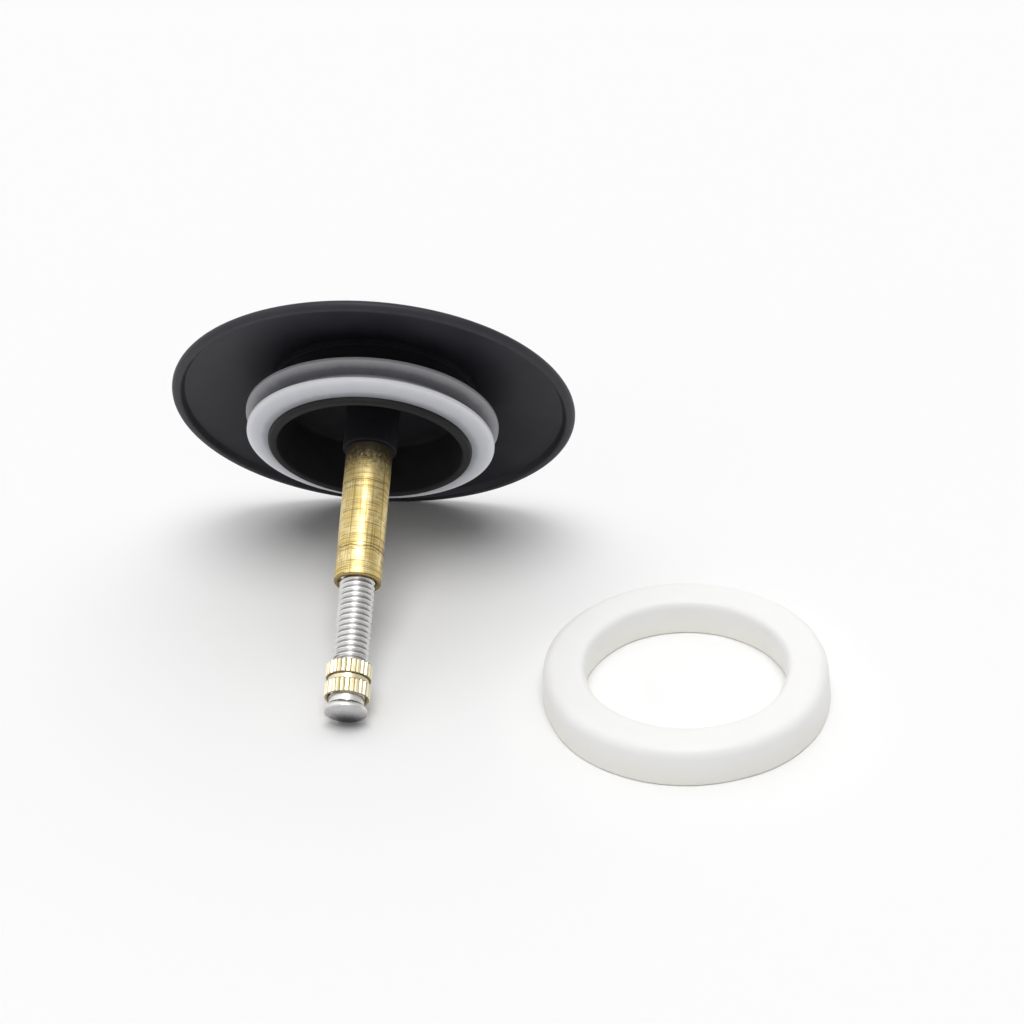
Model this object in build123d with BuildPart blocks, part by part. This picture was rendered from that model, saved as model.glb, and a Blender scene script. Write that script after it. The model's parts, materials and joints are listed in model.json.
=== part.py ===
from build123d import *
from math import asin, atan2, cos, hypot, radians, sin, sqrt, tan
import os

# Drain stopper, lying on its cover's rim and its screw's head, with its loose sealing ring.
# Millimetres. +Z is up, +X to the right and +Y away from someone who looks at the underside.
# The origin is the middle of the whole set's footprint, on the surface that it lies on.
# A station is a distance along the stem from the middle of the cover's rim, towards the head.

# Cover: a shallow dome of sheet metal with its rim folded under.
cover_diameter = 70.0
crown_height = 5.5
sheet_thickness = 0.9
rim_thickness = 1.6
hem_width = 2.2
hem_edge_round = 0.35

# Thread shared by the stud, the stem, the adjusting screw and the lock nut (M6 x 1).
thread_diameter = 6.0
thread_pitch = 1.0
thread_depth = 0.5
thread_root_flat_share = 0.25
thread_flank_angle = 30.0
thread_clearance = 0.05

# O-ring, drawn squeezed between the stud's flange and the bottom of the body's recess.
o_ring_width = 1.8
o_ring_height = 1.5
o_ring_corner_round = 0.6

# Stud: welded under the crown of the cover by its flange, which covers the O-ring.
stud_flange_margin = 0.15
stud_flange_thickness = 0.8
stud_engagement = 6.0
stud_chamfer = 0.5

# Plunger body: open cup with a central boss, lip round its mouth, groove for the seal, a shoulder
# behind the groove, and the flange that the cover sits on.
mouth_radius = 16.1
cup_draft = 0.5
cup_floor_wall = 1.2
cup_corner_round = 1.0
boss_ledge = 0.65
boss_edge_round = 0.2
lip_ring_width = 1.5
lip_ring_thickness = 0.9
lip_outer_round = 0.55
lip_inner_round = 0.3
groove_depth = 0.7
groove_length = 6.6
shoulder_rise = 0.6
shoulder_length = 3.2
flange_overhang = 0.4
flange_set_back = 2.0
flange_edge_round = 0.3
stud_hole_clearance = 0.1
seat_clearance = 0.05

# Lip seal: a sleeve in the groove with two lips that sweep back towards the cover.
# Reaches are measured out from the lip of the cup, set-backs from the front end of the groove.
seal_clearance = 0.03
seal_wall = 1.6
upper_lip_reach = 4.3
upper_lip_set_back = 4.9
lower_lip_reach = 3.8
lower_lip_set_back = 1.4
valley_reach = 1.1
valley_set_back = 3.0
lip_land = 0.6
lip_root_thickness = 1.3
seal_front_step = 0.2
front_bulge = 0.12

# Stem: stands on the boss, with a blind tapped hole in each end.
stem_wall = 0.95
stem_web = 4.8
stem_edge_chamfer = 0.2
stud_hole_spare = 0.6
screw_hole_spare = 5.0
drill_point_angle = 118.0
countersink_depth = 0.45

# Adjusting screw, as it is set in the photograph.
screw_engagement = 9.0
screw_stand_out = 22.5
tail_point_length = 0.6
tail_point_taper = 0.55
neck_relief = 0.05
neck_length = 1.0
head_overhang = 0.6
head_back_bevel = 0.5
head_back_thickness = 0.6
head_side_length = 0.4
head_edge_round = 0.35
dome_height = 0.9

# Lock nut: two knurled bands with a groove between them.
nut_wall = 0.83
nut_band_length = 2.45
nut_groove_length = 1.0
nut_groove_depth = 0.43
nut_gap_to_head = 1.4
knurl_count = 28
knurl_depth = 0.25
knurl_width_share = 0.55

# Loose sealing ring, flat on the surface beside the stopper.
ring_bore_radius = 16.9
ring_width = 6.9
ring_thickness = 6.8
ring_corner_round = 1.0
ring_offset_x = 51.0
ring_offset_y = -45.5

# How the stopper is turned about the vertical, and one overrun for every cut.
stopper_yaw = 6.35
overrun = 0.2

# Radii that follow the shared thread.
thread_radius = thread_diameter / 2
thread_root_radius = thread_radius - thread_depth
thread_bore_radius = thread_radius + thread_clearance
countersink_radius = thread_bore_radius + countersink_depth
stem_radius = thread_bore_radius + stem_wall
boss_radius = stem_radius + boss_ledge
nut_radius = thread_bore_radius + nut_wall
nut_groove_radius = nut_radius - nut_groove_depth
neck_radius = thread_root_radius - neck_relief
tail_point_radius = neck_radius - tail_point_taper
head_radius = thread_radius + head_overhang
head_back_radius = head_radius - head_back_bevel
head_centre_radius = head_radius - head_edge_round
o_ring_inner_radius = thread_radius + seat_clearance
stud_flange_radius = o_ring_inner_radius + o_ring_width + stud_flange_margin

# Radii of the plunger body and its seal, from the cup's mouth outwards.
lip_ring_radius = mouth_radius + lip_ring_width
groove_radius = lip_ring_radius - groove_depth
shoulder_radius = groove_radius + shoulder_rise
flange_radius = shoulder_radius + flange_overhang
upper_lip_radius = lip_ring_radius + upper_lip_reach
lower_lip_radius = lip_ring_radius + lower_lip_reach
valley_radius = lip_ring_radius + valley_reach
ring_outer_radius = ring_bore_radius + ring_width

# The dome: its outer ball touches the rim's round edge from inside.
cover_radius = cover_diameter / 2
rim_round = rim_thickness / 2
rim_centre_radius = cover_radius - rim_round
dome_radius = (crown_height**2 + rim_centre_radius**2 - rim_round**2) / (2 * (crown_height - rim_round))
dome_centre_station = dome_radius - crown_height
dome_edge_angle = asin(rim_centre_radius / (dome_radius - rim_round))
under_radius = dome_radius - sheet_thickness
crown_under_station = sheet_thickness - crown_height
hem_inner_radius = cover_radius - hem_width


def dome_station(ball_radius, radius):
    return dome_centre_station - sqrt(ball_radius**2 - radius**2)


# Stations along the stem.
flange_station = -flange_set_back
shoulder_station = flange_station + shoulder_length
lip_back_station = shoulder_station + groove_length
nose_station = lip_back_station + lip_ring_thickness
stud_flange_station = dome_station(under_radius, stud_flange_radius)
stud_seat_station = stud_flange_station + stud_flange_thickness
recess_station = stud_seat_station + o_ring_height + 2 * seat_clearance
cup_floor_station = recess_station + cup_floor_wall
upper_lip_station = lip_back_station - upper_lip_set_back
lower_lip_station = lip_back_station - lower_lip_set_back
valley_station = lip_back_station - valley_set_back
stud_end_station = nose_station + stud_engagement
stud_hole_station = stud_end_station + stud_hole_spare
screw_hole_station = stud_hole_station + stem_web
tail_station = screw_hole_station + screw_hole_spare
stem_end_station = tail_station + screw_engagement
head_back_station = stem_end_station + screw_stand_out
thread_end_station = head_back_station - neck_length
head_edge_station = head_back_station + head_back_thickness + head_side_length
head_tip_station = head_edge_station + dome_height
nut_end_station = head_back_station - nut_gap_to_head
nut_groove_end_station = nut_end_station - nut_band_length
nut_groove_start_station = nut_groove_end_station - nut_groove_length
nut_start_station = nut_groove_start_station - nut_band_length

# The tilt at which the rim's round edge and the head's round edge both touch the surface.
edge_drop = rim_centre_radius - head_centre_radius
edge_span = hypot(head_edge_station, edge_drop)
stem_tilt = atan2(edge_drop, head_edge_station) + asin((rim_round - head_edge_round) / edge_span)
stem_axis = Vector(
    -sin(radians(stopper_yaw)) * cos(stem_tilt),
    -cos(radians(stopper_yaw)) * cos(stem_tilt),
    -sin(stem_tilt),
)

# The footprint of the set, measured from the middle of the rim, puts the origin in its middle.
set_left = -(rim_centre_radius * sqrt(1 - stem_axis.X**2) + rim_round)
set_right = ring_offset_x + ring_outer_radius
set_back = rim_centre_radius * sqrt(1 - stem_axis.Y**2) + rim_round
set_front = ring_offset_y - ring_outer_radius
rim_centre = Vector(
    -(set_left + set_right) / 2,
    -(set_front + set_back) / 2,
    rim_centre_radius * cos(stem_tilt) + rim_round,
)
ring_centre = Vector(rim_centre.X + ring_offset_x, rim_centre.Y + ring_offset_y, 0)

# Half sections are drawn with the radius along x and the station along y.
stem_side = stem_axis.cross(Vector(0, 0, 1)).normalized()
half_plane = Plane(origin=rim_centre, x_dir=stem_side, z_dir=stem_side.cross(stem_axis))
stem_line = Axis(rim_centre, stem_axis)


def across(station):
    return Plane(origin=rim_centre + stem_axis * station, x_dir=stem_side, z_dir=stem_axis)


def corner(sketch, radius, station):
    return sketch.vertices().sort_by_distance((radius, station))[0]


os.makedirs("parts", exist_ok=True)

# Cover plate
rim_top = (
    rim_centre_radius + rim_round * sin(dome_edge_angle),
    -rim_round * cos(dome_edge_angle),
)
hem_root = (hem_inner_radius, dome_station(under_radius, hem_inner_radius))
with BuildPart() as cover_plate:
    with BuildSketch(half_plane) as cover_section:
        with BuildLine():
            RadiusArc((0, -crown_height), rim_top, -dome_radius)
            ThreePointArc(rim_top, (cover_radius, 0), (rim_centre_radius, rim_round))
            Line((rim_centre_radius, rim_round), (hem_inner_radius, rim_round))
            Line((hem_inner_radius, rim_round), hem_root)
            RadiusArc(hem_root, (0, crown_under_station), under_radius)
            Line((0, crown_under_station), (0, -crown_height))
        make_face()
        fillet(corner(cover_section, hem_inner_radius, rim_round), hem_edge_round)
    revolve(axis=stem_line)
cover_plate.part.label = "cover_plate"
export_step(cover_plate.part, "parts/cover_plate.step")

# Stud, welded to the flat of its flange under the crown
with BuildPart() as cover_stud:
    with BuildSketch(half_plane) as stud_section:
        with BuildLine():
            RadiusArc((0, crown_under_station), (stud_flange_radius, stud_flange_station), -under_radius)
            Polyline(
                (stud_flange_radius, stud_flange_station),
                (stud_flange_radius, stud_seat_station),
                (thread_radius, stud_seat_station),
                (thread_radius, stud_end_station),
                (0, stud_end_station),
                (0, crown_under_station),
            )
        make_face()
        chamfer(corner(stud_section, thread_radius, stud_end_station), stud_chamfer)
    revolve(axis=stem_line)
cover_stud.part.label = "cover_stud"
export_step(cover_stud.part, "parts/cover_stud.step")

# O-ring round the stud, under its flange
o_ring_middle = (
    o_ring_inner_radius + o_ring_width / 2,
    stud_seat_station + seat_clearance + o_ring_height / 2,
)
with BuildPart() as stud_o_ring:
    with BuildSketch(half_plane):
        with Locations(o_ring_middle):
            RectangleRounded(o_ring_width, o_ring_height, o_ring_corner_round)
    revolve(axis=stem_line)
stud_o_ring.part.label = "stud_o_ring"
export_step(stud_o_ring.part, "parts/stud_o_ring.step")

# Plunger body
seat_radius = under_radius - seat_clearance
recess_radius = stud_flange_radius + stud_hole_clearance
stud_hole_radius = thread_radius + stud_hole_clearance
cup_floor_radius = mouth_radius - cup_draft
with BuildPart() as plunger_body:
    with BuildSketch(half_plane) as body_section:
        with BuildLine():
            RadiusArc(
                (recess_radius, dome_station(seat_radius, recess_radius)),
                (flange_radius, dome_station(seat_radius, flange_radius)),
                -seat_radius,
            )
            Polyline(
                (flange_radius, dome_station(seat_radius, flange_radius)),
                (flange_radius, flange_station),
                (shoulder_radius, flange_station),
                (shoulder_radius, shoulder_station),
                (groove_radius, shoulder_station),
                (groove_radius, lip_back_station),
                (lip_ring_radius, lip_back_station),
                (lip_ring_radius, nose_station),
                (mouth_radius, nose_station),
                (cup_floor_radius, cup_floor_station),
                (boss_radius, cup_floor_station),
                (boss_radius, nose_station),
                (stud_hole_radius, nose_station),
                (stud_hole_radius, recess_station),
                (recess_radius, recess_station),
                (recess_radius, dome_station(seat_radius, recess_radius)),
            )
        make_face()
        fillet(corner(body_section, flange_radius, flange_station), flange_edge_round)
        fillet(corner(body_section, lip_ring_radius, nose_station), lip_outer_round)
        fillet(corner(body_section, mouth_radius, nose_station), lip_inner_round)
        fillet(corner(body_section, cup_floor_radius, cup_floor_station), cup_corner_round)
        fillet(corner(body_section, boss_radius, cup_floor_station), cup_corner_round)
        fillet(corner(body_section, boss_radius, nose_station), boss_edge_round)
    revolve(axis=stem_line)
plunger_body.part.label = "plunger_body"
export_step(plunger_body.part, "parts/plunger_body.step")

# Lip seal
seal_bore_radius = groove_radius + seal_clearance
sleeve_radius = seal_bore_radius + seal_wall
seal_back_station = shoulder_station + seal_clearance
seal_end_station = lip_back_station - seal_clearance
seal_front = (lip_ring_radius + seal_clearance, lip_back_station + seal_front_step)
lower_lip_front = (lower_lip_radius, lower_lip_station + lip_land / 2)
lower_lip_back = (lower_lip_radius, lower_lip_station - lip_land / 2)
upper_lip_front = (upper_lip_radius, upper_lip_station + lip_land / 2)
upper_lip_back = (upper_lip_radius, upper_lip_station - lip_land / 2)
valley = (valley_radius, valley_station)
upper_lip_root = (sleeve_radius, valley_station - 2 * lip_root_thickness)
with BuildPart() as lip_seal:
    with BuildSketch(half_plane):
        with BuildLine():
            Polyline(
                (seal_front[0], seal_end_station),
                (seal_bore_radius, seal_end_station),
                (seal_bore_radius, seal_back_station),
                (sleeve_radius, seal_back_station),
                upper_lip_root,
                upper_lip_back,
                upper_lip_front,
                valley,
                lower_lip_back,
                lower_lip_front,
            )
            SagittaArc(lower_lip_front, seal_front, front_bulge)
            Line(seal_front, (seal_front[0], seal_end_station))
        make_face()
    revolve(axis=stem_line)
lip_seal.part.label = "lip_seal"
export_step(lip_seal.part, "parts/lip_seal.step")

# Stem
drill_point_length = thread_bore_radius / tan(radians(drill_point_angle / 2))
with BuildPart() as stem:
    with BuildSketch(half_plane) as stem_section:
        with BuildLine():
            Polyline(
                (0, stud_hole_station + drill_point_length),
                (thread_bore_radius, stud_hole_station),
                (thread_bore_radius, nose_station),
                (stem_radius, nose_station),
                (stem_radius, stem_end_station),
                (countersink_radius, stem_end_station),
                (thread_bore_radius, stem_end_station - countersink_depth),
                (thread_bore_radius, screw_hole_station),
                (0, screw_hole_station - drill_point_length),
                close=True,
            )
        make_face()
        stem_edges = [
            corner(stem_section, stem_radius, nose_station),
            corner(stem_section, stem_radius, stem_end_station),
        ]
        chamfer(stem_edges, stem_edge_chamfer)
    revolve(axis=stem_line)
stem.part.label = "stem"
export_step(stem.part, "parts/stem.step")

# Adjusting screw. The thread is a row of V grooves, one pitch apart.
thread_start_station = tail_station + tail_point_length
flank_length = thread_depth * tan(radians(thread_flank_angle))
root_flat = thread_pitch * thread_root_flat_share
crest_flat = thread_pitch - root_flat - 2 * flank_length
turn_count = int((thread_end_station - thread_start_station) / thread_pitch)
thread_outline = []
for turn in range(turn_count):
    rise_station = thread_start_station + turn * thread_pitch
    fall_station = rise_station + flank_length + crest_flat
    thread_outline.append((thread_root_radius, rise_station))
    thread_outline.append((thread_radius, rise_station + flank_length))
    thread_outline.append((thread_radius, fall_station))
    thread_outline.append((thread_root_radius, fall_station + flank_length))
head_face_station = head_edge_station + head_edge_round
head_face_rise = head_tip_station - head_face_station
head_dome_radius = (head_centre_radius**2 + head_face_rise**2) / (2 * head_face_rise)
head_edge_middle = head_edge_round / sqrt(2)
with BuildPart() as adjusting_screw:
    with BuildSketch(half_plane):
        with BuildLine():
            Polyline(
                (0, head_tip_station),
                (0, tail_station),
                (tail_point_radius, tail_station),
                *thread_outline,
                (thread_root_radius, thread_end_station),
                (neck_radius, thread_end_station),
                (neck_radius, head_back_station),
                (head_back_radius, head_back_station),
                (head_radius, head_back_station + head_back_thickness),
                (head_radius, head_edge_station),
            )
            ThreePointArc(
                (head_radius, head_edge_station),
                (head_centre_radius + head_edge_middle, head_edge_station + head_edge_middle),
                (head_centre_radius, head_face_station),
            )
            RadiusArc((head_centre_radius, head_face_station), (0, head_tip_station), -head_dome_radius)
        make_face()
    revolve(axis=stem_line)
adjusting_screw.part.label = "adjusting_screw"
export_step(adjusting_screw.part, "parts/adjusting_screw.step")

# Lock nut
knurl_width = 2 * nut_radius * sin(radians(180 / knurl_count)) * knurl_width_share
with BuildPart() as lock_nut:
    with BuildSketch(half_plane):
        with BuildLine():
            Polyline(
                (thread_bore_radius, nut_start_station + countersink_depth),
                (countersink_radius, nut_start_station),
                (nut_radius, nut_start_station),
                (nut_radius, nut_groove_start_station),
                (nut_groove_radius, nut_groove_start_station),
                (nut_groove_radius, nut_groove_end_station),
                (nut_radius, nut_groove_end_station),
                (nut_radius, nut_end_station),
                (countersink_radius, nut_end_station),
                (thread_bore_radius, nut_end_station - countersink_depth),
                close=True,
            )
        make_face()
    revolve(axis=stem_line)
    with BuildSketch(across(nut_start_station)):
        with PolarLocations(0, knurl_count):
            with BuildLine():
                Polyline(
                    (nut_radius - knurl_depth, 0),
                    (nut_radius + overrun, knurl_width / 2),
                    (nut_radius + overrun, -knurl_width / 2),
                    close=True,
                )
            make_face()
    extrude(amount=nut_end_station - nut_start_station, mode=Mode.SUBTRACT)
lock_nut.part.label = "lock_nut"
export_step(lock_nut.part, "parts/lock_nut.step")

# Loose sealing ring
with BuildPart() as spare_seal_ring:
    with BuildSketch(Plane(origin=ring_centre, x_dir=(1, 0, 0), z_dir=(0, -1, 0))):
        with Locations(((ring_bore_radius + ring_outer_radius) / 2, ring_thickness / 2)):
            RectangleRounded(ring_outer_radius - ring_bore_radius, ring_thickness, ring_corner_round)
    revolve(axis=Axis(ring_centre, (0, 0, 1)))
spare_seal_ring.part.label = "spare_seal_ring"
export_step(spare_seal_ring.part, "parts/spare_seal_ring.step")
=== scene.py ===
import json
from math import asin, cos, pi, radians, sin, sqrt, tan

import bpy
from mathutils import Matrix, Vector

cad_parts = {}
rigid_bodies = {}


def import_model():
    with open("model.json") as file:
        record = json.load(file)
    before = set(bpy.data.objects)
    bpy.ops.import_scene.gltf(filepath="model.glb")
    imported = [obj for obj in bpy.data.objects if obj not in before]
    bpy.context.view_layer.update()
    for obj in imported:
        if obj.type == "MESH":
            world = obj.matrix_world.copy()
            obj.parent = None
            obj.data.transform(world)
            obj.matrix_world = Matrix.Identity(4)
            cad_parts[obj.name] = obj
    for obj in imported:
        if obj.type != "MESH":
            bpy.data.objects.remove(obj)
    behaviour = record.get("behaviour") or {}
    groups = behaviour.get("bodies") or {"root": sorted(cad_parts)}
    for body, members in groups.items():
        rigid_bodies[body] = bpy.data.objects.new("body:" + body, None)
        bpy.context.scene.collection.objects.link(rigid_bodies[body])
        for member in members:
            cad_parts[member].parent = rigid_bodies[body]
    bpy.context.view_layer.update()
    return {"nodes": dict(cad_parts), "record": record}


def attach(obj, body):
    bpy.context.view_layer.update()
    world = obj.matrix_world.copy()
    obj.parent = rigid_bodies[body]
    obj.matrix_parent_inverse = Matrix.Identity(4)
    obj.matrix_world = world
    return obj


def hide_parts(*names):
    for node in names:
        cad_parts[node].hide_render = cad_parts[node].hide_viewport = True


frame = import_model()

mounts = {mount["name"]: mount for mount in frame["record"]["mounts"]}

mm = 0.001  # lengths in the dictionaries are millimetres, and angles degrees
mergeDistance = 0.002 * mm
samePlace = 0.0001 * mm
cutTolerance = 0.00001 * mm

# Where the stopper lies: its stem's line, and the loose ring's middle, both from the frame's record.
# A station is a distance along the stem from the middle of the cover's rim, in millimetres.
layout = {"stemMiddleStation": 21.4}
stemAxis = Vector(mounts["stem_shaft"]["axis"]).normalized()
rimCentre = Vector(mounts["stem_shaft"]["pos_m"]) - stemAxis * layout["stemMiddleStation"] * mm
stemSide = stemAxis.cross(Vector((0, 0, 1))).normalized()
stemUp = stemAxis.cross(stemSide)
stemPlace = Matrix((stemSide, stemUp, stemAxis)).transposed().to_4x4()
stemPlace.translation = rimCentre
ringCentre = Vector(mounts["ring_bore"]["pos_m"])
ringCentre.z = 0
ringPlace = Matrix.Translation(ringCentre)


# Small tools for modelling in edit mode

def deselectAll():
    if bpy.context.object and bpy.context.object.mode != "OBJECT":
        bpy.ops.object.mode_set(mode="OBJECT")
    for other in bpy.context.scene.objects:
        other.select_set(False)
    bpy.context.view_layer.objects.active = None


def workOn(piece):
    deselectAll()
    piece.select_set(True)
    bpy.context.view_layer.objects.active = piece


def editMode(piece):
    workOn(piece)
    bpy.ops.object.mode_set(mode="EDIT")
    bpy.ops.mesh.select_mode(type="VERT")


def selectPoints(piece, test):
    bpy.ops.object.mode_set(mode="OBJECT")
    for part in (piece.data.vertices, piece.data.edges, piece.data.polygons):
        part.foreach_set("select", [False] * len(part))
    for point in piece.data.vertices:
        point.select = bool(test(point))
    bpy.ops.object.mode_set(mode="EDIT")


def scaleSelected(factor):
    bpy.ops.transform.resize(value=(factor, factor, 1), center_override=(0, 0, 0))


def liftSelected(height):
    bpy.ops.transform.translate(value=(0, 0, height * mm))


def useModifier(piece, kind, **settings):
    workOn(piece)
    modifier = piece.modifiers.new(kind.title(), kind)
    for name, value in settings.items():
        setattr(modifier, name, value)
    bpy.ops.object.modifier_apply(modifier=modifier.name)


def fuse(piece, other):
    useModifier(piece, "BOOLEAN", operation="UNION", object=other, solver="EXACT")
    bpy.data.objects.remove(other)


def roundCorner(before, corner, after, radius, steps):
    a, b, c = Vector(before), Vector(corner), Vector(after)
    toA, toC = (a - b).normalized(), (c - b).normalized()
    halfAngle = toA.angle(toC) / 2
    reach = radius / tan(halfAngle)
    middle = b + (toA + toC).normalized() * radius / sin(halfAngle)
    start, end = b + toA * reach - middle, b + toC * reach - middle
    turn = start.angle_signed(end)
    points = []
    for step in range(steps + 1):
        angle = -turn * step / steps
        points.append((
            middle.x + start.x * cos(angle) - start.y * sin(angle),
            middle.y + start.x * sin(angle) + start.y * cos(angle),
        ))
    return points


def roundedOutline(corners, steps=4):
    # Each corner is (radius, station) or (radius, station, rounding).
    outline = []
    for index, corner in enumerate(corners):
        if len(corner) < 3:
            outline.append(corner)
            continue
        before = corners[index - 1][:2]
        after = corners[(index + 1) % len(corners)][:2]
        outline += roundCorner(before, corner[:2], after, corner[2], steps)
    return outline


# A turned piece: a circle is extruded ring by ring along its outline, about the Z axis.
# An outline that starts on the axis ends there too, and any other comes back to its start.

def startCircle(name, radius, station, sides):
    deselectAll()
    bpy.ops.mesh.primitive_circle_add(
        vertices=sides, radius=radius * mm, fill_type="NOTHING", location=(0, 0, station * mm)
    )
    piece = bpy.context.object
    piece.name = name
    bpy.ops.object.transform_apply(location=True, rotation=True, scale=True)
    editMode(piece)
    bpy.ops.mesh.select_all(action="SELECT")
    return piece


def closeSurface():
    bpy.ops.mesh.select_all(action="SELECT")
    bpy.ops.mesh.remove_doubles(threshold=mergeDistance)
    bpy.ops.mesh.normals_make_consistent(inside=False)
    bpy.ops.object.mode_set(mode="OBJECT")


def turnPiece(name, outline, sides):
    atPole = outline[0][0] == 0
    radius, station = outline[1] if atPole else outline[0]
    piece = startCircle(name, radius, station, sides)
    if atPole:
        bpy.ops.mesh.extrude_region_move()
        liftSelected(outline[0][1] - station)
        bpy.ops.mesh.merge(type="CENTER")
        firstHeight, halfRadius = station * mm, radius * mm / 2
        selectPoints(
            piece,
            lambda point: abs(point.co.z - firstHeight) < samePlace and point.co.xy.length > halfRadius,
        )
    following = outline[2:] if atPole else outline[1:] + outline[:1]
    for nextRadius, nextStation in following:
        bpy.ops.mesh.extrude_region_move()
        liftSelected(nextStation - station)
        if nextRadius == 0:
            bpy.ops.mesh.merge(type="CENTER")
            break
        scaleSelected(nextRadius / radius)
        radius, station = nextRadius, nextStation
    closeSurface()
    return piece


def finishPiece(piece, place, paint, body, node, smoothAngle=30):
    workOn(piece)
    piece.matrix_world = place @ piece.matrix_world
    bpy.ops.object.transform_apply(location=True, rotation=True, scale=True)
    bpy.ops.object.shade_smooth_by_angle(angle=radians(smoothAngle))
    piece.data.materials.clear()
    piece.data.materials.append(paint.material)
    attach(piece, body)
    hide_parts(node)
    print("made", piece.name, len(piece.data.polygons), "faces")


# Shader maths written as expressions

class Wire:
    def __init__(self, paint, socket):
        self.paint, self.socket = paint, socket

    def math(self, operation, *values):
        return self.paint.add("ShaderNodeMath", {"operation": operation}, dict(enumerate(values)))

    def output(self, name):
        return Wire(self.paint, self.socket.node.outputs[name])

    def __add__(self, other):
        return self.math("ADD", self, other)

    def __radd__(self, other):
        return self.math("ADD", other, self)

    def __sub__(self, other):
        return self.math("SUBTRACT", self, other)

    def __rsub__(self, other):
        return self.math("SUBTRACT", other, self)

    def __mul__(self, other):
        return self.math("MULTIPLY", self, other)

    def __rmul__(self, other):
        return self.math("MULTIPLY", other, self)

    def __pow__(self, other):
        return self.math("POWER", self, other)

    def __abs__(self):
        return self.math("ABSOLUTE", self)


class Wiring:
    def __init__(self, tree):
        self.tree = tree

    def add(self, kind, settings, sockets, output=0):
        node = self.tree.nodes.new(kind)
        for name, value in settings.items():
            if name == "stops":
                while len(node.color_ramp.elements) < len(value):
                    node.color_ramp.elements.new(0.5)
                for element, (position, colour) in zip(node.color_ramp.elements, value):
                    element.position = position
                    element.color = (*colour, 1)
            else:
                setattr(node, name, value)
        for name, value in sockets.items():
            self.feed(node.inputs[name], value)
        return Wire(self, node.outputs[output])

    def feed(self, socket, value):
        if isinstance(value, Wire):
            self.tree.links.new(value.socket, socket)
        elif socket.type == "RGBA":
            socket.default_value = (*value, 1)
        else:
            socket.default_value = value

    def remap(self, value, low, high, toLow=0.0, toHigh=1.0):
        # A soft step: toLow at low, toHigh at high, and low may be the larger
        return self.add("ShaderNodeMapRange", {"interpolation_type": "SMOOTHSTEP"}, {
            "Value": value, "From Min": low, "From Max": high, "To Min": toLow, "To Max": toHigh,
        })


class Paint(Wiring):
    def __init__(self, name, **surface):
        self.material = bpy.data.materials.new(name)
        self.material.use_nodes = True
        super().__init__(self.material.node_tree)
        self.shader = self.tree.nodes["Principled BSDF"]
        self.surface(**surface)

    def surface(self, **values):
        for name, value in values.items():
            self.feed(self.shader.inputs[name.replace("_", " ")], value)

    def upright(self, matrix):
        # Object coordinates in millimetres, turned back to where the piece's axis is +Z
        home = matrix.inverted()
        own = self.add("ShaderNodeTexCoord", {}, {}, "Object")
        placed = self.add("ShaderNodeMapping", {"vector_type": "POINT"}, {
            "Vector": own, "Location": home.to_translation(), "Rotation": home.to_euler("XYZ"),
        })
        return self.stretch(placed, (1 / mm, 1 / mm, 1 / mm))

    def split(self, vector):
        separate = self.add("ShaderNodeSeparateXYZ", {}, {"Vector": vector})
        return [separate.output(name) for name in ("X", "Y", "Z")]

    def fromAxis(self, spot):
        x, y, z = self.split(spot)
        return (x * x + y * y) ** 0.5

    def alongAxis(self, spot):
        return self.split(spot)[2]

    def stretch(self, vector, scale):
        return self.add("ShaderNodeVectorMath", {"operation": "MULTIPLY"}, {0: vector, 1: scale})

    def noise(self, vector, scale=1.0, detail=3.0, roughness=0.6):
        return self.add("ShaderNodeTexNoise", {"noise_dimensions": "3D"}, {
            "Vector": vector, "Scale": scale, "Detail": detail, "Roughness": roughness,
        })

    def specks(self, vector, cell, size, share):
        # Round specks, one at most in each cell, in a share of the cells
        dots = self.add("ShaderNodeTexVoronoi", {"feature": "F1"}, {"Vector": vector, "Scale": 1 / cell})
        chance = self.split(dots.output("Color"))[0]
        near = self.remap(dots, size / cell, size / cell * 0.5)
        return near * self.remap(chance, 1 - share, 1.001 - share)

    def ramp(self, value, stops):
        return self.add("ShaderNodeValToRGB", {"stops": stops}, {"Fac": value})

    def clouded(self, cloud, tones):
        # From the first tone to the second over the middle of a noise, where its values lie
        return self.ramp(cloud, ((0.35, tones[0]), (0.65, tones[1])))

    def mix(self, factor, a, b):
        return self.add("ShaderNodeMix", {"data_type": "RGBA", "blend_type": "MIX"}, {
            0: factor, 6: a, 7: b,
        }, 2)

    def layered(self, tone, *layers):
        # Each layer is (how much of it shows, its colour), and lies over those before it
        for amount, colour in layers:
            tone = self.mix(amount, tone, colour)
        return tone

    def bump(self, height, strength, depth):
        return self.add("ShaderNodeBump", {}, {
            "Height": height, "Strength": strength, "Distance": depth * mm,
        })


# Camera and light

camera = {
    "elevation": 34.32, "azimuth": 0.36, "roll": -2.74, "distance": 546.7, "nearest": 10.0,
    "focalPixels": 3000.0, "imagePixels": 1024.0, "sensor": 36.0, "targetFromRim": (23.02, 10.9),
}
target = Vector((rimCentre.x, rimCentre.y, 0)) + Vector((*camera["targetFromRim"], 0)) * mm
bpy.ops.object.camera_add(location=(0, 0, 0))
viewCamera = bpy.context.object
viewCamera.name = "viewCamera"
viewCamera.data.sensor_width = camera["sensor"]
viewCamera.data.lens = camera["focalPixels"] / camera["imagePixels"] * camera["sensor"]
viewCamera.data.clip_start = camera["nearest"] * mm
viewCamera.rotation_euler = (radians(90 - camera["elevation"]), 0, radians(camera["azimuth"]))
backwards = viewCamera.rotation_euler.to_matrix() @ Vector((0, 0, 1))
viewCamera.location = target + backwards * camera["distance"] * mm
viewCamera.rotation_euler.rotate_axis("Z", radians(camera["roll"]))
bpy.context.scene.camera = viewCamera
bpy.context.scene.view_settings.view_transform = "Standard"

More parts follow.
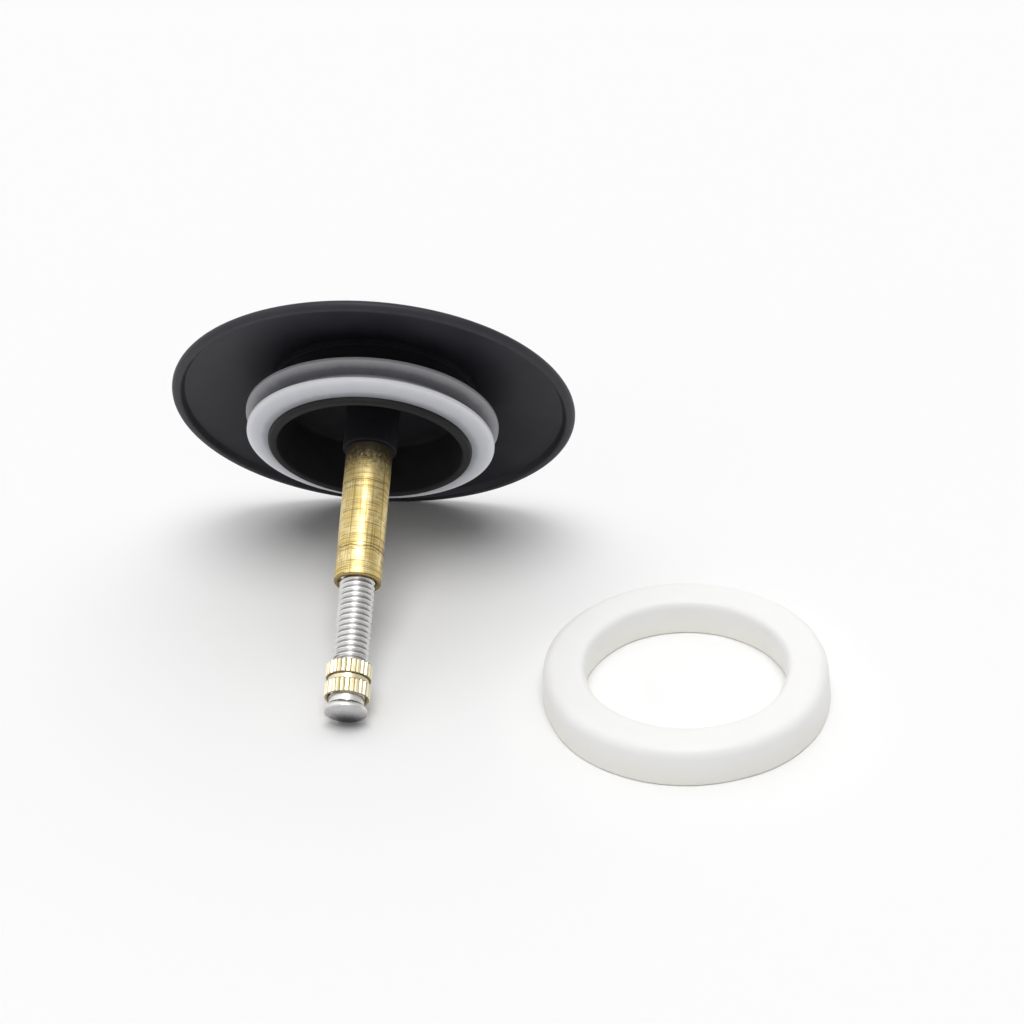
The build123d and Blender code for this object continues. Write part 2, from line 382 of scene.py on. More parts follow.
# The sky lights the set weakly, looks near white to the camera, and mirrors brighter on one side.
studio = {
    "floorSize": 4000.0, "floorColour": (0.975, 0.975, 0.975), "floorRoughness": 0.9, "floorSpecular": 0.1,
    "lamps": {
        "overheadLamp": {"from": (0.01, -0.26, 1.0), "angle": 32.0, "strength": 1.2, "mirrored": True},
        "broadBackLamp": {"from": (0.0, 0.34, 1.0), "angle": 90.0, "strength": 1.26, "mirrored": False},
        "leftLamp": {"from": (-0.9, -0.3, 0.5), "angle": 50.0, "strength": 0.14, "mirrored": False},
    },
    "skyColour": (1, 1, 1), "skyLight": 0.23, "skySeen": 0.975, "mirroredDim": 0.66, "mirroredBright": 1.2,
    "mirroredFrom": (-0.55, -0.3, 0.78), "mirroredSpread": (0.0, 0.9),
}
world = bpy.data.worlds.new("studioSky")
world.use_nodes = True
bpy.context.scene.world = world
skyWiring = Wiring(world.node_tree)
rays = skyWiring.add("ShaderNodeLightPath", {}, {})
seen = rays.output("Is Camera Ray")
mirrored = rays.math("MAXIMUM", rays.output("Is Glossy Ray"), rays.output("Is Transmission Ray"))
outward = skyWiring.add("ShaderNodeTexCoord", {}, {}, "Generated")
softbox = skyWiring.add("ShaderNodeVectorMath", {"operation": "DOT_PRODUCT"}, {
    0: outward, 1: Vector(studio["mirroredFrom"]).normalized(),
}, "Value")
shine = skyWiring.remap(softbox, *studio["mirroredSpread"], studio["mirroredDim"], studio["mirroredBright"])
skyStrength = (
    studio["skyLight"] + mirrored * (shine - studio["skyLight"])
    + seen * (studio["skySeen"] - studio["skyLight"])
)
sky = world.node_tree.nodes["Background"]
skyWiring.feed(sky.inputs["Color"], studio["skyColour"])
skyWiring.feed(sky.inputs["Strength"], skyStrength)

for name, lamp in studio["lamps"].items():
    deselectAll()
    bpy.ops.object.light_add(type="SUN", location=(0, 0, 1))
    sun = bpy.context.object
    sun.name = name
    sun.data.energy = lamp["strength"]
    sun.data.angle = radians(lamp["angle"])
    sun.rotation_euler = (-Vector(lamp["from"])).to_track_quat("-Z", "Y").to_euler()
    sun.visible_glossy = lamp["mirrored"]

deselectAll()
bpy.ops.mesh.primitive_plane_add(size=studio["floorSize"] * mm, location=(0, 0, 0))
floor = bpy.context.object
floor.name = "studioFloor"
floorPaint = Paint(
    "floorPaper", Base_Color=studio["floorColour"], Roughness=studio["floorRoughness"],
    Specular_IOR_Level=studio["floorSpecular"],
)
floor.data.materials.append(floorPaint.material)
print("camera and studio set")


# Cover plate: a shallow pressed dome whose rim is folded under

cover = {
    "diameter": 70.0, "crownHeight": 5.5, "sheet": 0.9, "rimThickness": 1.6, "hemTop": 33.45,
    "hemFoot": 32.85, "hemRound": 0.5, "footRound": 0.45, "footToDome": 1.5, "sides": 256, "domeRings": 16,
    "rimSteps": 10, "cornerSteps": 6,
    "specular": 0.35, "roughness": 0.4, "grainDepth": 0.02,
    "tones": ((0.0175, 0.017, 0.0235), (0.0265, 0.026, 0.034)),
    "dustCell": 4.2, "dustSize": 0.26, "dustShare": 0.12, "dustTone": (0.32, 0.31, 0.3),
}
rimRound = cover["rimThickness"] / 2
rimLine = cover["diameter"] / 2 - rimRound
domeRise = cover["crownHeight"] - rimRound
domeRadius = (cover["crownHeight"] ** 2 + rimLine ** 2 - rimRound ** 2) / (2 * domeRise)
domeCentre = domeRadius - cover["crownHeight"]
underRadius = domeRadius - cover["sheet"]
rimStart = asin(rimLine / (domeRadius - rimRound))


def domeStation(ballRadius, radius):
    return domeCentre - sqrt(ballRadius ** 2 - radius ** 2)


def coverOutline():
    outline = [(0, -cover["crownHeight"])]
    outerEdge = rimLine + rimRound * sin(rimStart)
    for step in range(1, cover["domeRings"] + 1):
        radius = outerEdge * step / cover["domeRings"]
        outline.append((radius, domeStation(domeRadius, radius)))
    for step in range(1, cover["rimSteps"] + 1):
        angle = -pi / 2 + rimStart + (pi - rimStart) * step / cover["rimSteps"]
        outline.append((rimLine + rimRound * cos(angle), rimRound * sin(angle)))
    innerRadius = cover["hemFoot"] - cover["footToDome"]
    hemTop = (cover["hemTop"], rimRound)
    hemFoot = (cover["hemFoot"], domeStation(underRadius, cover["hemFoot"]))
    innerEdge = (innerRadius, domeStation(underRadius, innerRadius))
    outline += roundCorner((rimLine, rimRound), hemTop, hemFoot, cover["hemRound"], cover["cornerSteps"])
    outline += roundCorner(hemTop, hemFoot, innerEdge, cover["footRound"], cover["cornerSteps"])
    for step in range(cover["domeRings"], 0, -1):
        radius = innerRadius * step / cover["domeRings"]
        outline.append((radius, domeStation(underRadius, radius)))
    outline.append((0, domeStation(underRadius, 0)))
    return outline


def paintCover():
    paint = Paint("blackSatinCover", Specular_IOR_Level=cover["specular"])
    spot = paint.upright(stemPlace)
    cloud = paint.noise(spot, scale=0.09, detail=4.0)
    grain = paint.noise(spot, scale=6.0, roughness=0.7)
    dust = paint.specks(spot, cover["dustCell"], cover["dustSize"], cover["dustShare"])
    paint.surface(
        Base_Color=paint.mix(dust * 0.6, paint.clouded(cloud, cover["tones"]), cover["dustTone"]),
        Roughness=cover["roughness"] + 0.14 * cloud + 0.06 * grain,
        Normal=paint.bump(grain + dust, 0.5, cover["grainDepth"]),
    )
    return paint


coverPiece = turnPiece("coverPlate", coverOutline(), cover["sides"])
finishPiece(coverPiece, stemPlace, paintCover(), "stopper", "cover_plate")

# Plunger body: a moulded cup with a boss in its middle, set against the inside of the dome

body = {
    "flangeRadius": 17.9, "flangeStation": -2.0, "flangeRound": 0.3, "shoulderRadius": 17.5,
    "shoulderStation": 1.2, "grooveRadius": 16.9, "grooveEnd": 7.8, "lipRadius": 17.6, "nose": 8.7,
    "lipRound": 0.55, "mouthRound": 0.3, "mouthRadius": 16.0, "floorRadius": 15.6, "cupFloor": -0.9,
    "cupRound": 1.0, "bossRadius": 4.65, "bossRound": 0.2, "holeRadius": 3.1, "recessRadius": 5.1,
    "recessStation": -2.1, "seatMiddle": 12.0, "seatClearance": 0.05, "sides": 192,
    "specular": 0.16, "roughness": 0.66, "grainDepth": 0.02,
    "tones": ((0.011, 0.011, 0.0135), (0.017, 0.017, 0.02)),
    "smoothMouth": {"radii": (15.7, 16.6), "stations": (7.2, 8.4), "tone": (0.017, 0.0155, 0.0165)},
}


def bodyOutline():
    seatRadius = underRadius - body["seatClearance"]
    corners = [
        (body["recessRadius"], domeStation(seatRadius, body["recessRadius"])),
        (body["seatMiddle"], domeStation(seatRadius, body["seatMiddle"])),
        (body["flangeRadius"], domeStation(seatRadius, body["flangeRadius"])),
        (body["flangeRadius"], body["flangeStation"], body["flangeRound"]),
        (body["shoulderRadius"], body["flangeStation"]),
        (body["shoulderRadius"], body["shoulderStation"]),
        (body["grooveRadius"], body["shoulderStation"]),
        (body["grooveRadius"], body["grooveEnd"]),
        (body["lipRadius"], body["grooveEnd"]),
        (body["lipRadius"], body["nose"], body["lipRound"]),
        (body["mouthRadius"], body["nose"], body["mouthRound"]),
        (body["floorRadius"], body["cupFloor"], body["cupRound"]),
        (body["bossRadius"], body["cupFloor"], body["cupRound"]),
        (body["bossRadius"], body["nose"], body["bossRound"]),
        (body["holeRadius"], body["nose"]),
        (body["holeRadius"], body["recessStation"]),
        (body["recessRadius"], body["recessStation"]),
    ]
    return roundedOutline(corners)


def paintBody():
    paint = Paint("blackMouldedBody", Specular_IOR_Level=body["specular"])
    spot = paint.upright(stemPlace)
    radius, station = paint.fromAxis(spot), paint.alongAxis(spot)
    cloud = paint.noise(spot, scale=0.2)
    grain = paint.noise(spot, scale=5.0, roughness=0.65)
    flow = paint.noise(paint.stretch(spot, (0.12, 0.12, 2.2)), detail=2.0)
    smooth = body["smoothMouth"]
    mouth = paint.remap(radius, *smooth["radii"]) * paint.remap(station, *smooth["stations"])
    paint.surface(
        Base_Color=paint.mix(mouth, paint.clouded(cloud, body["tones"]), smooth["tone"]),
        Roughness=body["roughness"] + 0.12 * grain - 0.2 * mouth,
        Normal=paint.bump(grain + flow, 0.4, body["grainDepth"]),
    )
    return paint


bodyPiece = turnPiece("plungerBody", bodyOutline(), body["sides"])
finishPiece(bodyPiece, stemPlace, paintBody(), "stopper", "plunger_body")

# Lip seal: pale at the thin lips and darker towards the body, partly the black body showing through and
# partly painted shade; painted shade darkens the upper lip under the lower lip

seal = {
    "boreRadius": 16.93, "backStation": 1.23, "endStation": 7.77, "sleeveRadius": 18.53, "rootStation": 2.2,
    "upperRadius": 21.9, "upperStation": 2.9, "valleyRadius": 18.7, "valleyStation": 4.8,
    "lowerRadius": 21.4, "lowerStation": 6.5, "land": 0.6, "frontRadius": 17.63, "frontStation": 7.85,
    "bulge": (0.04, 0.05), "bulgeRound": 3.0, "backRound": 0.2, "rootRound": 0.3, "edgeRound": 0.12,
    "valleyRound": 0.5, "sides": 256,
    "specular": 0.35, "roughness": 0.38, "grainDepth": 0.03, "milkyTone": (0.9, 0.9, 0.92),
    "frontRadii": (17.6, 21.5), "frontTonesAndShade": (
        (0.0, (0.3, 0.305, 0.34)), (0.25, (0.56, 0.57, 0.62)),
        (0.8, (0.7, 0.71, 0.76)), (1.0, (0.84, 0.845, 0.88)),
    ),
    "backRadii": (18.4, 22.0), "upperLipShadeTones": (
        (0.0, (0.095, 0.093, 0.1)), (0.6, (0.165, 0.16, 0.172)), (1.0, (0.38, 0.375, 0.395)),
    ),
    "backToFront": (4.5, 5.3),
}


def sealOutline():
    half = seal["land"] / 2
    bulgeOut, bulgeAlong = seal["bulge"]
    corners = [
        (seal["frontRadius"], seal["endStation"]),
        (seal["boreRadius"], seal["endStation"]),
        (seal["boreRadius"], seal["backStation"]),
        (seal["sleeveRadius"], seal["backStation"], seal["backRound"]),
        (seal["sleeveRadius"], seal["rootStation"], seal["rootRound"]),
        (seal["upperRadius"], seal["upperStation"] - half, seal["edgeRound"]),
        (seal["upperRadius"], seal["upperStation"] + half, seal["edgeRound"]),
        (seal["valleyRadius"], seal["valleyStation"], seal["valleyRound"]),
        (seal["lowerRadius"], seal["lowerStation"] - half, seal["edgeRound"]),
        (seal["lowerRadius"], seal["lowerStation"] + half, seal["edgeRound"]),
        (
            (seal["lowerRadius"] + seal["frontRadius"]) / 2 + bulgeOut,
            (seal["lowerStation"] + half + seal["frontStation"]) / 2 + bulgeAlong,
            seal["bulgeRound"],
        ),
        (seal["frontRadius"], seal["frontStation"]),
    ]
    return roundedOutline(corners)


def paintSeal():
    paint = Paint("clearSiliconeSeal", Specular_IOR_Level=seal["specular"])
    spot = paint.upright(stemPlace)
    radius, station = paint.fromAxis(spot), paint.alongAxis(spot)
    cloud = paint.noise(spot, scale=0.35, detail=4.0)
    grain = paint.noise(spot, scale=4.0, roughness=0.7)
    rings = paint.noise(paint.stretch(spot, (0.15, 0.15, 3.0)), detail=2.0)
    reach = radius + 0.7 * (cloud - 0.5)
    # Darker towards the body: partly the black body through the silicone, partly painted shade; the upper
    # lip's tones are painted shade
    front = paint.ramp(paint.remap(reach, *seal["frontRadii"]), seal["frontTonesAndShade"])
    back = paint.ramp(paint.remap(reach, *seal["backRadii"]), seal["upperLipShadeTones"])
    tone = paint.mix(paint.remap(station, *seal["backToFront"]), back, front)
    paint.surface(
        Base_Color=paint.mix(0.07 * paint.remap(grain, 0.5, 0.7), tone, seal["milkyTone"]),
        Roughness=seal["roughness"] + 0.2 * cloud,
        Normal=paint.bump(grain + rings, 0.4, seal["grainDepth"]),
    )
    return paint


sealPiece = turnPiece("lipSeal", sealOutline(), seal["sides"])
finishPiece(sealPiece, stemPlace, paintSeal(), "stopper", "lip_seal")

# Stem: its dark lines are (station, half width, how strong), and the last is a painted dark reflection by
# the end chamfer

stem = {
    "radius": 4.0, "start": 8.7, "end": 34.1, "chamfer": 0.2, "mouthRadius": 3.5, "boreRadius": 3.05,
    "studHole": 6.6, "screwHole": 14.0, "drillPoint": 1.83, "sides": 128,
    "roughness": 0.22, "markDepth": 0.04, "tones": ((0.9, 0.76, 0.4), (0.78, 0.6, 0.24)),
    "wornTone": (0.42, 0.3, 0.1), "markTone": (0.28, 0.19, 0.06), "bandTone": (0.18, 0.12, 0.04),
    "markLinesAndEndReflection": (
        (16.2, 0.2, 0.5), (17.4, 0.2, 0.4), (28.7, 0.22, 0.7), (29.3, 0.14, 0.5), (33.82, 0.14, 0.8),
    ),
    "markAndReflectionLineTone": (0.1, 0.06, 0.02), "cupShadeStations": (18.0, 12.5), "cupShadeTone": (0.4, 0.31, 0.13),
    "endReflectionStations": (33.85, 34.05), "endReflectionTone": (0.2, 0.14, 0.05),
    "darkTowardBossStations": (14.6, 9.8), "darkTowardBossTone": (0.045, 0.04, 0.035),
}


def stemOutline():
    sink = stem["mouthRadius"] - stem["boreRadius"]
    return [
        (0, stem["start"] + stem["studHole"] + stem["drillPoint"]),
        (stem["boreRadius"], stem["start"] + stem["studHole"]),
        (stem["boreRadius"], stem["start"]),
        (stem["radius"] - stem["chamfer"], stem["start"]),
        (stem["radius"], stem["start"] + stem["chamfer"]),
        (stem["radius"], stem["end"] - stem["chamfer"]),
        (stem["radius"] - stem["chamfer"], stem["end"]),
        (stem["mouthRadius"], stem["end"]),
        (stem["boreRadius"], stem["end"] - sink),
        (stem["boreRadius"], stem["end"] - stem["screwHole"]),
        (0, stem["end"] - stem["screwHole"] - stem["drillPoint"]),
    ]


def paintStem():
    # Turning marks run round the stem, broken up by patches; painted shade darkens it towards the cup,
    # where it is rougher, it turns near-black towards the boss end, and the end chamfer has a painted dark
    # reflection
    paint = Paint("turnedBrass", Metallic=1.0)
    spot = paint.upright(stemPlace)
    station = paint.alongAxis(spot)
    fine = paint.noise(paint.stretch(spot, (0.07, 0.07, 5.5)), roughness=0.65)
    coarse = paint.noise(paint.stretch(spot, (0.05, 0.05, 1.3)))
    drawn = paint.noise(paint.stretch(spot, (2.6, 2.6, 0.06)), detail=2.0)
    patch = paint.noise(paint.stretch(spot, (0.5, 0.5, 0.35)))
    mottle = paint.noise(spot, scale=1.6, detail=4.0, roughness=0.7)
    mark = paint.remap(fine, 0.5, 0.62) * paint.remap(patch, 0.34, 0.54)
    band = paint.remap(coarse, 0.6, 0.72) * paint.remap(patch, 0.3, 0.5)
    wavyStation = station + 1.2 * (patch - 0.5)
    lines = sum(
        paint.remap(abs(wavyStation - place), width, width * 0.3) * strength
        for place, width, strength in stem["markLinesAndEndReflection"]
    )
    # Painted shade towards the cup, which is also rougher there
    cupShade = paint.remap(station + 4.0 * (mottle - 0.5), *stem["cupShadeStations"])
    # Near-black towards the boss end
    darkTowardBoss = paint.remap(station + 9.0 * (mottle - 0.5), *stem["darkTowardBossStations"])
    paint.surface(
        Base_Color=paint.layered(
            paint.mix(paint.remap(patch, 0.35, 0.65), *stem["tones"]),
            (0.75 * paint.remap(drawn, 0.52, 0.66), stem["wornTone"]),
            (0.8 * mark, stem["markTone"]),
            (0.7 * band, stem["bandTone"]),
            (lines, stem["markAndReflectionLineTone"]),
            (0.5 * cupShade, stem["cupShadeTone"]),
            # Painted dark reflection on the end chamfer
            (0.85 * paint.remap(station, *stem["endReflectionStations"]), stem["endReflectionTone"]),
            (0.9 * darkTowardBoss, stem["darkTowardBossTone"]),
        ),
        Roughness=stem["roughness"] + 0.2 * fine + 0.12 * patch + 0.16 * cupShade,
        Normal=paint.bump(fine + 0.5 * coarse + 0.3 * drawn, 0.8, stem["markDepth"]),
    )
    return paint


stemPiece = turnPiece("brassStem", stemOutline(), stem["sides"])
finishPiece(stemPiece, stemPlace, paintStem(), "stopper", "stem")

# Adjusting screw: a thread profile is wound up with a screw modifier, cut square, and joined to its ends.

screw = {
    "pitch": 1.0, "crest": 3.0, "root": 2.5, "rootFlat": 0.25, "flank": 0.2887, "threadStart": 25.7,
    "threadEnd": 55.6, "spareTurns": 2, "steps": 64, "tail": 25.1, "tailRadius": 1.9, "tailEnd": 2.45,
    "neckRadius": 2.95, "overlap": 0.4, "headBack": 56.6, "backRadius": 3.2, "backThickness": 0.6,
    "headRadius": 3.6, "headEdge": 57.6, "headRound": 0.35, "roundSteps": 5, "tip": 58.5, "tipRings": 10,
    "sides": 96, "smoothAngle": 35,
    "roughness": 0.22, "grainDepth": 0.01, "tones": ((0.72, 0.715, 0.71), (0.82, 0.815, 0.81)),
    "rootRadii": (2.62, 2.51), "rootStations": (56.0, 55.4), "threadRootShadeTone": (0.2, 0.195, 0.19),
    "domeStations": (57.45, 57.8), "domeReflectionSpot": (0, 1.3, 58), "domeReflectionReach": (4.4, 0.6),
    "domeReflectionTone": (0.045, 0.045, 0.045),
    "collarStation": 56.62, "collarWidths": (0.3, 0.1), "collarReflectionTone": (0.02, 0.018, 0.018),
}


def makeThread():
    deselectAll()
    bpy.ops.mesh.primitive_plane_add(size=mm, location=(0, 0, 0))
    thread = bpy.context.object
    thread.name = "adjustingScrew"
    editMode(thread)
    bpy.ops.mesh.select_all(action="SELECT")
    bpy.ops.mesh.merge(type="CENTER")
    start = screw["threadStart"] - screw["spareTurns"] * screw["pitch"]
    bpy.ops.transform.translate(value=(screw["root"] * mm, 0, start * mm))
    crestFlat = screw["pitch"] - screw["rootFlat"] - 2 * screw["flank"]
    rise = screw["crest"] - screw["root"]
    profile = ((0, screw["rootFlat"]), (rise, screw["flank"]), (0, crestFlat), (-rise, screw["flank"]))
    for out, up in profile:
        bpy.ops.mesh.extrude_region_move(TRANSFORM_OT_translate={"value": (out * mm, 0, up * mm)})
    bpy.ops.object.mode_set(mode="OBJECT")
    turns = int((screw["threadEnd"] - screw["threadStart"]) / screw["pitch"]) + 2 * screw["spareTurns"]
    useModifier(
        thread, "SCREW", axis="Z", screw_offset=screw["pitch"] * mm, iterations=turns, steps=screw["steps"],
        render_steps=screw["steps"], use_merge_vertices=True, merge_threshold=mergeDistance,
        use_normal_calculate=True,
    )
    editMode(thread)
    bpy.ops.mesh.select_all(action="SELECT")
    bpy.ops.mesh.remove_doubles(threshold=mergeDistance)
    for cut, side in ((screw["threadStart"], -1), (screw["threadEnd"], 1)):
        bpy.ops.mesh.select_all(action="SELECT")
        bpy.ops.mesh.bisect(
            plane_co=(0, 0, cut * mm), plane_no=(0, 0, side), use_fill=True, clear_outer=True,
            threshold=cutTolerance,
        )
    bpy.ops.mesh.select_all(action="SELECT")
    bpy.ops.mesh.normals_make_consistent(inside=False)
    bpy.ops.object.mode_set(mode="OBJECT")
    return thread


def headOutline():
    # From inside the thread's end, over the neck, the back and the edge, to the top of the dome
    rise = screw["tip"] - screw["headEdge"] - screw["headRound"]
    middle = screw["headRadius"] - screw["headRound"]
    ball = (middle ** 2 + rise ** 2) / (2 * rise)
    inside = screw["threadEnd"] - screw["overlap"]
    outline = [
        (0, inside),
        (screw["neckRadius"], inside),
        (screw["neckRadius"], screw["headBack"]),
        (screw["backRadius"], screw["headBack"]),
        (screw["headRadius"], screw["headBack"] + screw["backThickness"]),
        (screw["headRadius"], screw["headEdge"]),
    ]
    for step in range(1, screw["roundSteps"] + 1):
        angle = radians(90 * step / screw["roundSteps"])
        outline.append((
            middle + screw["headRound"] * cos(angle), screw["headEdge"] + screw["headRound"] * sin(angle),
        ))
    for step in range(screw["tipRings"] - 1, 0, -1):
        radius = middle * step / screw["tipRings"]
        outline.append((radius, screw["tip"] - ball + sqrt(ball ** 2 - radius ** 2)))
    outline.append((0, screw["tip"]))
    return outline


def tailOutline():
    inside = screw["threadStart"] + screw["overlap"]
    return [
        (0, screw["tail"]),
        (screw["tailRadius"], screw["tail"]),
        (screw["tailEnd"], screw["threadStart"]),
        (screw["tailEnd"], inside),
        (0, inside),
    ]


def paintScrew():
    # Bright plating; painted shade in the bottom of the thread, which is also rougher there, a painted dark
    # reflection on the dome's low side, and painted dark reflection streaks behind the head
    paint = Paint("platedScrew", Metallic=1.0)
    spot = paint.upright(stemPlace)
    radius, station = paint.fromAxis(spot), paint.alongAxis(spot)
    cloud = paint.noise(spot, scale=0.6)
    fine = paint.noise(paint.stretch(spot, (0.4, 0.4, 4.0)))
    # Painted shade in the bottom of the thread, which is also rougher there
    root = paint.remap(radius, *screw["rootRadii"]) * paint.remap(station, *screw["rootStations"])
    # Painted dark reflection streaks where the neck meets the head's back
    collar = paint.remap(abs(station - screw["collarStation"]), *screw["collarWidths"])
    # Painted dark reflection of the shaded floor under the head, on the dome's low side
    lowSpot = paint.add("ShaderNodeVectorMath", {"operation": "DISTANCE"}, {
        0: spot, 1: screw["domeReflectionSpot"],
    }, "Value")
    dome = 0.3 + 0.68 * paint.remap(lowSpot, *screw["domeReflectionReach"])
    paint.surface(
        Base_Color=paint.layered(
            paint.clouded(cloud, screw["tones"]),
            (0.8 * root, screw["threadRootShadeTone"]),
            (dome * paint.remap(station, *screw["domeStations"]), screw["domeReflectionTone"]),
            (0.95 * collar * paint.remap(fine, 0.36, 0.5), screw["collarReflectionTone"]),
        ),
        Roughness=screw["roughness"] + 0.1 * cloud + 0.2 * root,
        Normal=paint.bump(fine, 0.35, screw["grainDepth"]),
    )
    return paint


screwPiece = makeThread()
fuse(screwPiece, turnPiece("screwHead", headOutline(), screw["sides"]))
fuse(screwPiece, turnPiece("screwTail", tailOutline(), screw["sides"]))
finishPiece(screwPiece, stemPlace, paintScrew(), "screw", "adjusting_screw", screw["smoothAngle"])

# Lock nut: in each knurled band, one point in six is pulled in to the notch and its neighbours half way.

nut = {
    "start": 49.3, "end": 55.2, "radius": 3.88, "grooveRadius": 3.45, "band": 2.45, "edge": 0.12,
    "sinkRadius": 3.5, "boreRadius": 3.05, "teeth": 28, "toothPoints": 6, "notch": 0.25,
    "roughness": 0.14, "grainDepth": 0.02, "tones": ((0.95, 0.85, 0.58), (1.0, 0.94, 0.72)),
    "notchRadii": (3.78, 3.64), "notchFoot": (3.5, 3.58), "notchShadeTone": (0.2, 0.13, 0.05),
    "grooveShadeLines": ((51.82, (0.2, 0.06)), (52.7, (0.14, 0.04))), "grooveShadeTone": (0.14, 0.09, 0.03),
    "boreShadeRadii": (3.5, 3.4), "boreShadeTone": (0.3, 0.22, 0.1),
}


def knurledBand(start, end):
    outer, inner = nut["radius"], nut["radius"] - nut["edge"]
    return [
        (inner, start, True), (outer, start + nut["edge"], True),
        (outer, end - nut["edge"], True), (inner, end, True),
    ]


def nutRings():
    # Each ring is (radius, station, whether it is knurled)
    sink = nut["sinkRadius"] - nut["boreRadius"]
    firstEnd, secondStart = nut["start"] + nut["band"], nut["end"] - nut["band"]
    return [
        (nut["boreRadius"], nut["start"] + sink, False),
        (nut["sinkRadius"], nut["start"], False),
        *knurledBand(nut["start"], firstEnd),
        (nut["grooveRadius"], firstEnd, False),
        (nut["grooveRadius"], secondStart, False),
        *knurledBand(secondStart, nut["end"]),
        (nut["sinkRadius"], nut["end"], False),
        (nut["boreRadius"], nut["end"] - sink, False),
        (nut["boreRadius"], nut["start"] + sink, False),
    ]


def makeNut():
    sides = nut["teeth"] * nut["toothPoints"]
    cuts = ((nut["notch"], (0,)), (nut["notch"] / 2, (1, nut["toothPoints"] - 1)))
    rings = nutRings()
    radius, station, knurled = rings[0]
    piece = startCircle("lockNut", radius, station, sides)
    for index, (nextRadius, nextStation, nextKnurled) in enumerate(rings[1:], 1):
        bpy.ops.mesh.extrude_region_move()
        liftSelected(nextStation - station)
        scaleSelected(nextRadius / radius)
        if nextKnurled != knurled:
            ringPoints = range(index * sides, (index + 1) * sides)
            fullRadius = nextRadius if nextKnurled else radius
            for depth, places in cuts:
                factor = 1 - depth / fullRadius
                selectPoints(
                    piece,
                    lambda point: point.index in ringPoints and point.index % nut["toothPoints"] in places,
                )
                scaleSelected(factor if nextKnurled else 1 / factor)
            selectPoints(piece, lambda point: point.index in ringPoints)
            bpy.ops.mesh.select_mode(type="VERT")
        radius, station, knurled = nextRadius, nextStation, nextKnurled
    closeSurface()
    return piece


def paintNut():
    # Painted shade darkens the knurl's cuts, the groove's edges and the bore's mouth
    paint = Paint("knurledBrass", Metallic=1.0)
    spot = paint.upright(stemPlace)
    radius, station = paint.fromAxis(spot), paint.alongAxis(spot)
    cloud = paint.noise(spot, scale=0.7)
    fine = paint.noise(paint.stretch(spot, (0.3, 0.3, 5.0)))
    # Painted shade in the knurl's cuts, which are also rougher
    low = paint.remap(radius, *nut["notchRadii"]) * paint.remap(radius, *nut["notchFoot"])
    # Painted shade along the groove's edges
    edges = sum(paint.remap(abs(station - place), *widths) for place, widths in nut["grooveShadeLines"])
    paint.surface(
        Base_Color=paint.layered(
            paint.clouded(cloud, nut["tones"]),
            (0.9 * low, nut["notchShadeTone"]),
            (0.75 * edges, nut["grooveShadeTone"]),
            # Painted shade in the bore's mouth
            (0.5 * paint.remap(radius, *nut["boreShadeRadii"]), nut["boreShadeTone"]),
        ),
        Roughness=nut["roughness"] + 0.16 * cloud + 0.15 * low,
        Normal=paint.bump(fine + cloud, 0.4, nut["grainDepth"]),
    )
    return paint


finishPiece(makeNut(), stemPlace, paintNut(), "nut", "lock_nut")

# Loose sealing ring: a little wider at the bottom, as a soft ring settles, and not quite round

ring = {
    "outer": 23.8, "bore": 16.95, "thickness": 6.8, "taper": 0.25, "footRound": 0.5, "round": 1.3,
    "topRound": 2.0, "cornerSteps": 6, "sides": 192, "wobble": 1.1, "wobbleScale": {"X": 24.0, "Y": 31.2},
    "specular": 0.4, "glowWeight": 0.2, "glowDepth": 2.0, "roughness": 0.32, "grainDepth": 0.04,
    "tones": ((0.97, 0.965, 0.945), (0.985, 0.982, 0.965)),
    "footStations": (5.4, 0.6), "footTone": (0.965, 0.95, 0.885),
}


def ringOutline():
    bore, outer, top, taper = ring["bore"], ring["outer"], ring["thickness"], ring["taper"]
    return roundedOutline([
        (bore + taper, 0, ring["footRound"]), (outer + taper, 0, ring["footRound"]),
        (outer - taper, top, ring["topRound"]), (bore - taper, top, ring["round"]),
    ], ring["cornerSteps"])


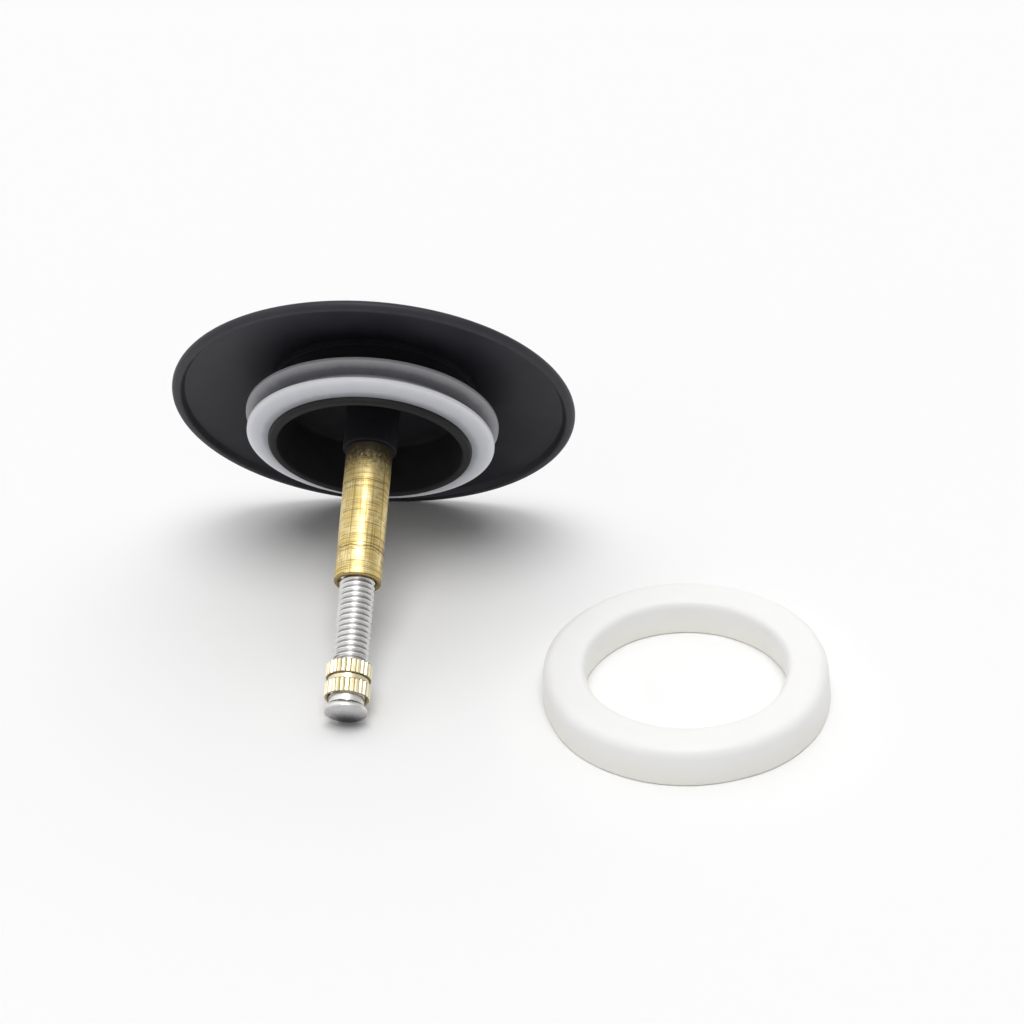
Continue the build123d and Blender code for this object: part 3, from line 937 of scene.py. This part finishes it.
def paintRing():
    paint = Paint(
        "milkySilicone", Specular_IOR_Level=ring["specular"], Subsurface_Weight=ring["glowWeight"],
        Subsurface_Scale=ring["glowDepth"] * mm, Subsurface_Radius=(1, 1, 1),
    )
    spot = paint.upright(ringPlace)
    cloud = paint.noise(spot, scale=0.16, detail=4.0, roughness=0.55)
    grain = paint.noise(spot, scale=3.0, roughness=0.7)
    foot = paint.remap(paint.alongAxis(spot) + 2.0 * (cloud - 0.5), *ring["footStations"])
    paint.surface(
        Base_Color=paint.mix(foot, paint.clouded(cloud, ring["tones"]), ring["footTone"]),
        Roughness=ring["roughness"] + 0.2 * cloud,
        Normal=paint.bump(grain + 2.0 * cloud, 0.3, ring["grainDepth"]),
    )
    return paint


ringPiece = turnPiece("looseSealRing", ringOutline(), ring["sides"])
for direction, scale in ring["wobbleScale"].items():
    clouds = bpy.data.textures.new("ringWobble" + direction, "CLOUDS")
    clouds.noise_scale = scale * mm
    useModifier(
        ringPiece, "DISPLACE", texture=clouds, direction=direction, strength=ring["wobble"] * mm,
        mid_level=0.5,
    )
finishPiece(ringPiece, ringPlace, paintRing(), "loose_ring", "spare_seal_ring")

# Hidden stud and its O-ring keep their own solids

stud = {"roughness": 0.25, "grainDepth": 0.02, "tones": ((0.5, 0.5, 0.53), (0.6, 0.6, 0.62))}
oRing = {
    "specular": 0.3, "roughness": 0.5, "grainDepth": 0.02,
    "tones": ((0.014, 0.014, 0.014), (0.024, 0.024, 0.024)),
}


def paintStud():
    paint = Paint("zincStud", Metallic=1.0)
    spot = paint.upright(stemPlace)
    cloud = paint.noise(spot, scale=0.8)
    fine = paint.noise(paint.stretch(spot, (0.4, 0.4, 4.0)), detail=2.0)
    paint.surface(
        Base_Color=paint.clouded(cloud, stud["tones"]),
        Roughness=stud["roughness"] + 0.25 * cloud,
        Normal=paint.bump(fine, 0.4, stud["grainDepth"]),
    )
    return paint


def paintRubber():
    paint = Paint("blackRubber", Specular_IOR_Level=oRing["specular"])
    cloud = paint.noise(paint.upright(stemPlace), scale=1.2)
    paint.surface(
        Base_Color=paint.clouded(cloud, oRing["tones"]),
        Roughness=oRing["roughness"] + 0.2 * cloud,
        Normal=paint.bump(cloud, 0.3, oRing["grainDepth"]),
    )
    return paint


for node, paint in (("cover_stud", paintStud()), ("stud_o_ring", paintRubber())):
    solid = frame["nodes"][node]
    solid.data.materials.clear()
    solid.data.materials.append(paint.material)
print("stud and O-ring painted")
